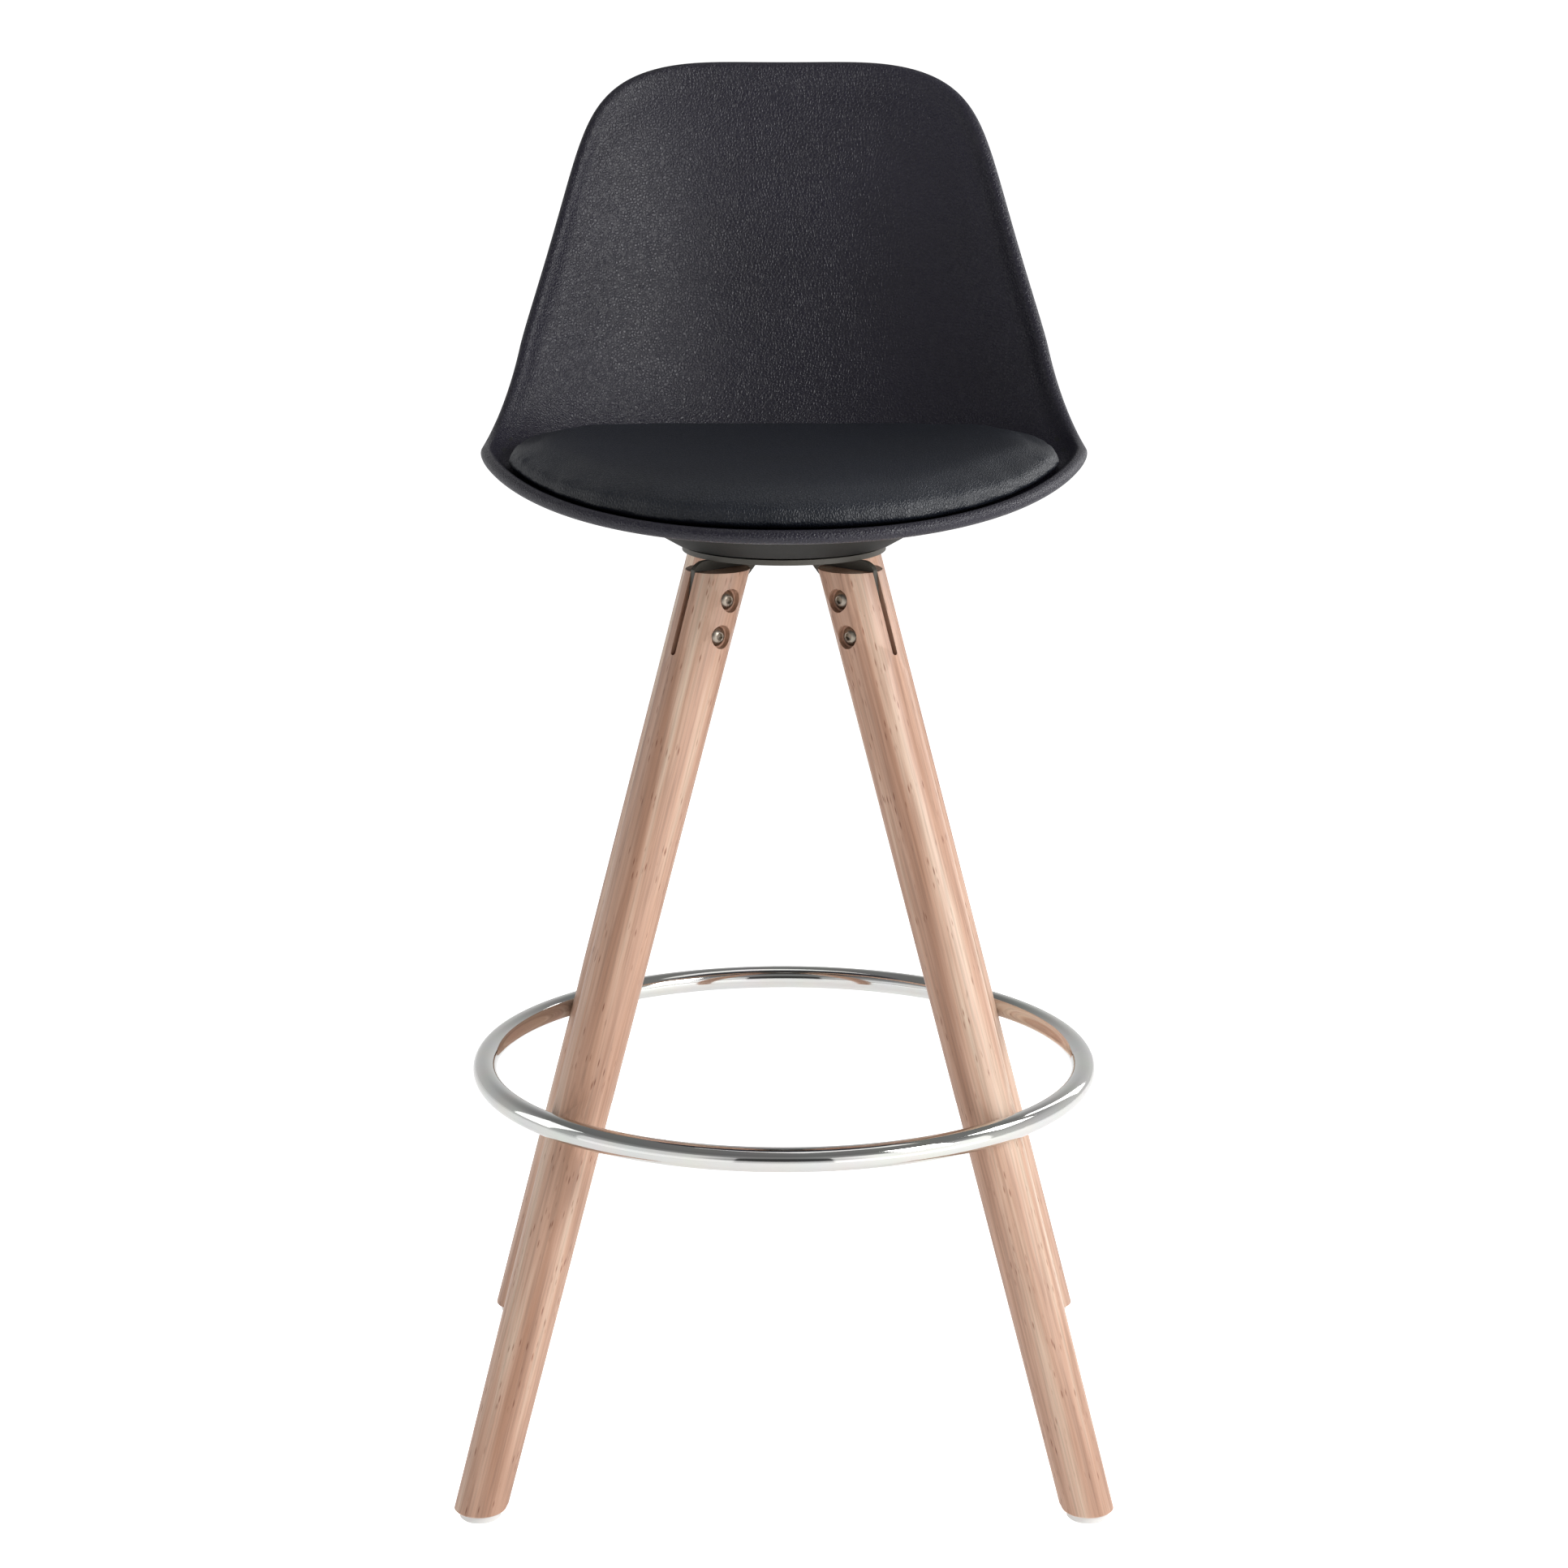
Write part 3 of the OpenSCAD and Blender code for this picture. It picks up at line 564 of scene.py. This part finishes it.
def make_upholstery():
    """One closed skin: a grid over the inside, rows along its border, the rolled edge, and the
    same for the underside."""
    n = COVER_GRID
    walk = rim_walk(n)
    count = len(walk)
    a = disc_grid(n)[0].ravel()[walk]
    x, t = shell_outline(a)
    edge, up = seat_point(x, t), seat_normal(x, t)
    along = unit(np.roll(edge, -1, 0) - np.roll(edge, 1, 0))
    out = unit(np.cross(along, up))
    insets = np.concatenate([np.linspace(28, 16, 5), np.linspace(14, 1, 12)]) * MM
    rows = [face_row(a, d, inner_profile, 0, 1) for d in insets]
    for turn in np.radians(np.linspace(90, -90, 13)):
        way = math.cos(turn) * out + math.sin(turn) * up
        rows.append(edge - ROLL_DEPTH * up + ROLL_R * way)
    rows += [face_row(a, d, outer_profile, COVER_DEPTH, -1) for d in insets[::-1]]
    top = face_grid(n, inner_profile, 0, 1)
    bottom = face_grid(n, outer_profile, COVER_DEPTH, -1)
    grid_size = (n + 1) ** 2
    last = grid_size + count * len(rows)
    faces = grid_quads(n)
    faces += [tuple(last + i for i in q) for q in grid_quads(n, flip=True)]
    loops = [list(walk)]
    loops += [list(grid_size + count * k + np.arange(count)) for k in range(len(rows))]
    loops.append(list(last + walk))
    faces += [q[::-1] for q in join_rows(loops)]
    piece = make_mesh("upholstery", np.concatenate([top] + rows + [bottom]), faces)
    piece.data.materials.append(shell_skin)
    return piece


def cut_out(piece, radius, low, high):
    """Opens the cover's underside where the shell's pad comes through."""
    bpy.ops.mesh.primitive_cylinder_add(
        vertices=128, radius=radius, depth=high - low, location=(0, 0, (low + high) / 2))
    cutter = bpy.context.object
    change = piece.modifiers.new("opening", "BOOLEAN")
    change.operation = "DIFFERENCE"
    change.solver = "EXACT"
    change.object = cutter
    apply_modifiers(piece)
    bpy.data.objects.remove(cutter)


upholstery = make_upholstery()


# ---------- stitching ----------
STITCH_SIZES = {"Pitch": 4.2 * MM, "Length": 3.0 * MM, "Thread": 0.9 * MM}


def seam_line():
    """A closed polyline in the middle of the seam's groove."""
    a = np.linspace(-180, 180, 720, endpoint=False)
    x, t = shell_outline(a)
    x, t = inside(x, t, edge_scale(x, t, SEAM_INSET))
    depth = COVER_DEPTH + float(outer_profile(np.array(SEAM_INSET)))
    return seat_point(x, t) - depth * seat_normal(x, t)


def stitch_tree():
    """Geometry Nodes: a thread's visible length at every pitch along the seam."""
    tree = bpy.data.node_groups.new("stitches", "GeometryNodeTree")
    face = tree.interface
    face.new_socket("Geometry", in_out="INPUT", socket_type="NodeSocketGeometry")
    for name, value in STITCH_SIZES.items():
        socket = face.new_socket(name, in_out="INPUT", socket_type="NodeSocketFloat")
        socket.default_value = value
    face.new_socket("Geometry", in_out="OUTPUT", socket_type="NodeSocketGeometry")
    source = add(tree, "NodeGroupInput").outputs
    path = add(tree, "GeometryNodeMeshToCurve", Mesh=source["Geometry"])
    spots = add(
        tree, "GeometryNodeCurveToPoints", {"mode": "LENGTH"},
        Curve=path.outputs["Curve"], Length=source["Pitch"])
    # one stitch: a long bead of 8 by 6 faces, along Z, laid down along the seam
    ball = add(tree, "GeometryNodeMeshUVSphere", Segments=8, Rings=6, Radius=0.5)
    size = add(
        tree, "ShaderNodeCombineXYZ", X=source["Thread"], Y=source["Thread"], Z=source["Length"])
    bead = add(
        tree, "GeometryNodeTransform", Geometry=ball.outputs["Mesh"], Scale=size.outputs["Vector"])
    turn = add(
        tree, "FunctionNodeAlignRotationToVector", {"axis": "Z"}, Vector=spots.outputs["Tangent"])
    placed = add(
        tree, "GeometryNodeInstanceOnPoints", Points=spots.outputs["Points"],
        Instance=bead.outputs["Geometry"], Rotation=turn.outputs["Rotation"])
    real = add(tree, "GeometryNodeRealizeInstances", Geometry=placed.outputs["Instances"])
    smooth = add(tree, "GeometryNodeSetShadeSmooth", Geometry=real.outputs["Geometry"])
    done = add(
        tree, "GeometryNodeSetMaterial", Geometry=smooth.outputs["Geometry"], Material=seam_thread)
    add(tree, "NodeGroupOutput", Geometry=done.outputs["Geometry"])
    return tree


def make_stitches():
    line = seam_line()
    count = len(line)
    mesh = bpy.data.meshes.new("seam_stitches")
    mesh.from_pydata([tuple(p) for p in line], [(k, (k + 1) % count) for k in range(count)], [])
    piece = bpy.data.objects.new("seam_stitches", mesh)
    bpy.context.scene.collection.objects.link(piece)
    change = piece.modifiers.new("stitches", "NODES")
    change.node_group = stitch_tree()
    for item in change.node_group.interface.items_tree:
        if item.name in STITCH_SIZES:
            change[item.identifier] = STITCH_SIZES[item.name]
    apply_modifiers(piece)
    return piece


stitches = make_stitches()
cut_out(upholstery, OPENING_R, *OPENING_Z)


# ---------- cushion ----------
CUSHION_WIDER = 1.0 * MM / 0.2  # the foam starts 1 mm in 200 mm wider than the outline
CUSHION_CAP = 6.0 * MM    # a point of the cover moves about this far at most
CUSHION_GAP = 1.8 * MM    # under the cushion, to the seat's upper face
CUSHION_MIN = 8 * MM      # the foam's least thickness
CROWN = PAN_Z + 57 * MM   # the top of the filled cushion
CUSHION_GRID = 60         # squares along each side of its two grids
CUSHION_CLEAR = 0.3 * MM  # the finished cushion's least distance from the cover
VOXEL = 4.5 * MM
CLOTH_FRAMES = 20


def cushion_start(n):
    """The cushion before it is filled: a crowned top over a bottom that lies on the seat. Its
    edge is 16 mm high, 19 mm at the rear and 14 mm in front."""
    angle, radius = disc_grid(n)
    x_edge, t_edge = cushion_outline(angle)
    r = radius * (1 + CUSHION_WIDER)
    x, t = x_edge * r, CUSHION_MID_T + (t_edge - CUSHION_MID_T) * r
    low = seat_point(x, t) + CUSHION_GAP * seat_normal(x, t)
    rim = seat_point(x_edge, t_edge) + CUSHION_GAP * seat_normal(x_edge, t_edge)
    sine = np.sin(np.radians(angle))
    edge_h = (16.0 + 3 * np.maximum(0, sine) ** 2 - 2.0 * np.maximum(0, -sine) ** 2) * MM
    edge_z = rim[..., 2] + edge_h
    crown = CROWN - 3 * MM
    high = low.copy()
    high[..., 2] = np.maximum(low[..., 2] + CUSHION_MIN, crown + (edge_z - crown) * radius**3.6)
    return low, high


def spread(values, links, rounds):
    """Each value moves towards the mean of its neighbours, several times."""
    count = np.zeros(len(values))
    np.add.at(count, links.ravel(), 1)
    count = np.maximum(count, 1)[:, None]
    for _ in range(rounds):
        total = np.zeros_like(values)
        np.add.at(total, links[:, 0], values[links[:, 1]])
        np.add.at(total, links[:, 1], values[links[:, 0]])
        values = 0.4 * values + 0.6 * total / count
    return values


def read(collection, name, width, kind=float):
    data = np.empty(len(collection) * width, kind)
    collection.foreach_get(name, data)
    return data.reshape(-1, width)


def cover_tree():
    return BVHTree.FromObject(upholstery, bpy.context.evaluated_depsgraph_get())


def fill_with_foam(piece):
    """Cloth simulation: the cover is pressed out by its filling, and no point goes past the cap."""
    change = piece.modifiers.new("remesh", "REMESH")
    change.mode = "VOXEL"
    change.voxel_size = VOXEL
    apply_modifiers(piece)
    mesh = piece.data
    start = read(mesh.vertices, "co", 3)
    links = read(mesh.edges, "vertices", 2, int)
    cloth = piece.modifiers.new("cloth", "CLOTH")
    cloth.settings.use_pressure = True
    cloth.settings.uniform_pressure_force = 4.0
    cloth.settings.effector_weights.gravity = 0
    cloth.settings.quality = 5
    cloth.settings.tension_stiffness = 20
    cloth.settings.compression_stiffness = 20
    cloth.settings.bending_stiffness = 6
    cloth.point_cache.frame_start = 1
    cloth.point_cache.frame_end = CLOTH_FRAMES
    scene = bpy.context.scene
    for number in range(1, CLOTH_FRAMES + 1):
        scene.frame_set(number)
    seen = piece.evaluated_get(bpy.context.evaluated_depsgraph_get())
    moved = read(seen.data.vertices, "co", 3)
    piece.modifiers.clear()
    scene.frame_set(1)
    # the stiff leatherette bridges short wrinkles, so most of the movement is evened out
    step = moved - start
    step = 0.85 * spread(step, links, 24) + 0.15 * spread(step, links, 3)
    length = np.linalg.norm(step, axis=1, keepdims=True)
    step *= CUSHION_CAP * np.tanh(length / CUSHION_CAP) / np.maximum(length, 1e-9)
    # what lies on the seat stays where it is, and from 2.5 to 7.5 mm above it that fades out
    rest = cover_tree()
    free = np.array([rest.find_nearest(Vector(point))[3] for point in start])
    free = np.clip((free / MM - 2.5) / 5, 0, 1)
    free = free * free * (3 - 2 * free)
    shape = start + step * free[:, None]
    shape = 0.3 * shape + 0.7 * spread(shape, links, 9)
    mesh.vertices.foreach_set("co", shape.ravel())
    mesh.update()


def keep_clear(piece, gap):
    """Lifts whatever has come nearer to the upholstery than a gap."""
    rest = cover_tree()
    for vertex in piece.data.vertices:
        spot, normal, _, _ = rest.find_nearest(vertex.co)
        height = (vertex.co - spot).dot(normal)
        if height < gap:
            vertex.co = vertex.co + normal * (gap - height)


def make_cushion():
    n = CUSHION_GRID
    low, high = cushion_start(n)
    walk = rim_walk(n)
    size = (n + 1) ** 2
    points = np.concatenate([high.reshape(-1, 3), low.reshape(-1, 3)])
    faces = grid_quads(n) + [tuple(size + i for i in q) for q in grid_quads(n, flip=True)]
    faces += join_rows([list(size + walk), list(walk)])
    piece = make_mesh("cushion", points, faces)
    fill_with_foam(piece)
    finer = piece.modifiers.new("finer", "SUBSURF")
    finer.levels = finer.render_levels = 1
    apply_modifiers(piece)
    keep_clear(piece, CUSHION_CLEAR)
    mesh = piece.data
    mesh.polygons.foreach_set("use_smooth", [True] * len(mesh.polygons))
    mesh.materials.clear()
    mesh.materials.append(cushion_skin)
    return piece


cushion = make_cushion()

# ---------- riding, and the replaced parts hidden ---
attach(upholstery, "seat")
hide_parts("inner_cover", "outer_cover")
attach(stitches, "seat")
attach(cushion, "seat")
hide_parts("seat_cushion")

# ---------- studio ----------
FLOOR_HALF = 60
WHITE = (1, 1, 1, 1)
# name, place, what it is aimed at, width and height, watts
LIGHTS = [
    ("softbox_right", (1.75, -1.4, 1.6), (0, 0, 0.85), (0.8, 1.2), 32),
    ("softbox_right_high", (1.75, 0.25, 1.7), (0, 0, 0.8), (0.7, 0.7), 10.5),
    ("panel_low_left", (-1.15, -1.15, 0.5), (0, 0, 0.4), (1.8, 1.0), 2.4),
    ("panel_low_right", (1.15, -1.15, 0.5), (0, 0, 0.4), (1.8, 1.0), 4.4),
    ("softbox_left", (-2.3, 0.3, 1.2), (0, 0, 0.6), (0.9, 1.6), 6),
    ("softbox_top", (0.2, 0.2, 2.9), (0, 0, 0.6), (1.4, 1.4), 6),
    ("strip_behind", (1.7, 1.5, 1.3), (0, 0, 0.8), (0.4, 1.6), 7),
]


def area_light(name, place, target, size, watts):
    data = bpy.data.lights.new(name, "AREA")
    data.shape = "RECTANGLE"
    data.size, data.size_y = size
    data.energy = watts
    light = bpy.data.objects.new(name, data)
    light.location = place
    light.rotation_euler = (Vector(target) - Vector(place)).to_track_quat("-Z", "Y").to_euler()
    bpy.context.scene.collection.objects.link(light)


def make_floor():
    corners = [(-1, -1), (1, -1), (1, 1), (-1, 1)]
    points = [(x * FLOOR_HALF, y * FLOOR_HALF, 0) for x, y in corners]
    floor = make_mesh("floor", points, [(0, 1, 2, 3)])
    paper, tree, shader = new_material("studio_paper_white")
    # the paper is burnt out white to the eye, but throws less light than that back at the stool
    seen = add(tree, "ShaderNodeLightPath")
    glow = add(
        tree, "ShaderNodeMapRange",
        Value=seen.outputs["Is Camera Ray"], To_Min=0.45, To_Max=0.9)
    feed(
        shader, Base_Color=paint("#f0f0f0"), Roughness=1.0, Specular_IOR_Level=0.0,
        Emission_Color=WHITE, Emission_Strength=glow.outputs["Result"])
    floor.data.materials.append(paper)


def make_world():
    """Pale walls up to about 30 degrees, a dark ceiling, a dark gap in front, where nothing is
    lit, and a dimmer left side. The eye itself sees plain white."""
    world = bpy.data.worlds.new("studio")
    world.use_nodes = True
    tree = world.node_tree
    tree.nodes.clear()
    way = add(tree, "ShaderNodeTexCoord").outputs["Generated"]
    parts = add(tree, "ShaderNodeSeparateXYZ", Vector=way)
    height = add(
        tree, "ShaderNodeValToRGB", {"stops": [(0.0, 0.74), (0.35, 0.6), (0.7, 0.22)]},
        Fac=parts.outputs["Z"])
    front = add(
        tree, "ShaderNodeMath", {"operation": "MULTIPLY"}, i0=parts.outputs["Y"], i1=-1.0)
    gap = add(
        tree, "ShaderNodeValToRGB", {"stops": [(0.30, 1.0), (0.84, 0.8), (0.93, 0.1)]},
        Fac=front.outputs["Value"])
    right = add(
        tree, "ShaderNodeMapRange", Value=parts.outputs["X"],
        From_Min=-1, From_Max=0.2, To_Min=0.75, To_Max=1)
    walls = add(
        tree, "ShaderNodeMixRGB", {"blend_type": "MULTIPLY"},
        i0=1.0, i1=height.outputs["Color"], i2=gap.outputs["Color"])
    walls = add(
        tree, "ShaderNodeMixRGB", {"blend_type": "MULTIPLY"},
        i0=1.0, i1=walls.outputs["Color"], i2=right.outputs["Result"])
    dim = add(tree, "ShaderNodeBackground", Color=walls.outputs["Color"], Strength=1.0)
    white = add(tree, "ShaderNodeBackground", Color=WHITE, Strength=1.0)
    seen = add(tree, "ShaderNodeLightPath")
    mixed = add(
        tree, "ShaderNodeMixShader", i0=seen.outputs["Is Camera Ray"],
        i1=dim.outputs["Background"], i2=white.outputs["Background"])
    add(tree, "ShaderNodeOutputWorld", Surface=mixed.outputs["Shader"])
    bpy.context.scene.world = world


make_floor()
make_world()
for light in LIGHTS:
    area_light(*light)
bpy.context.scene.view_settings.view_transform = "Standard"
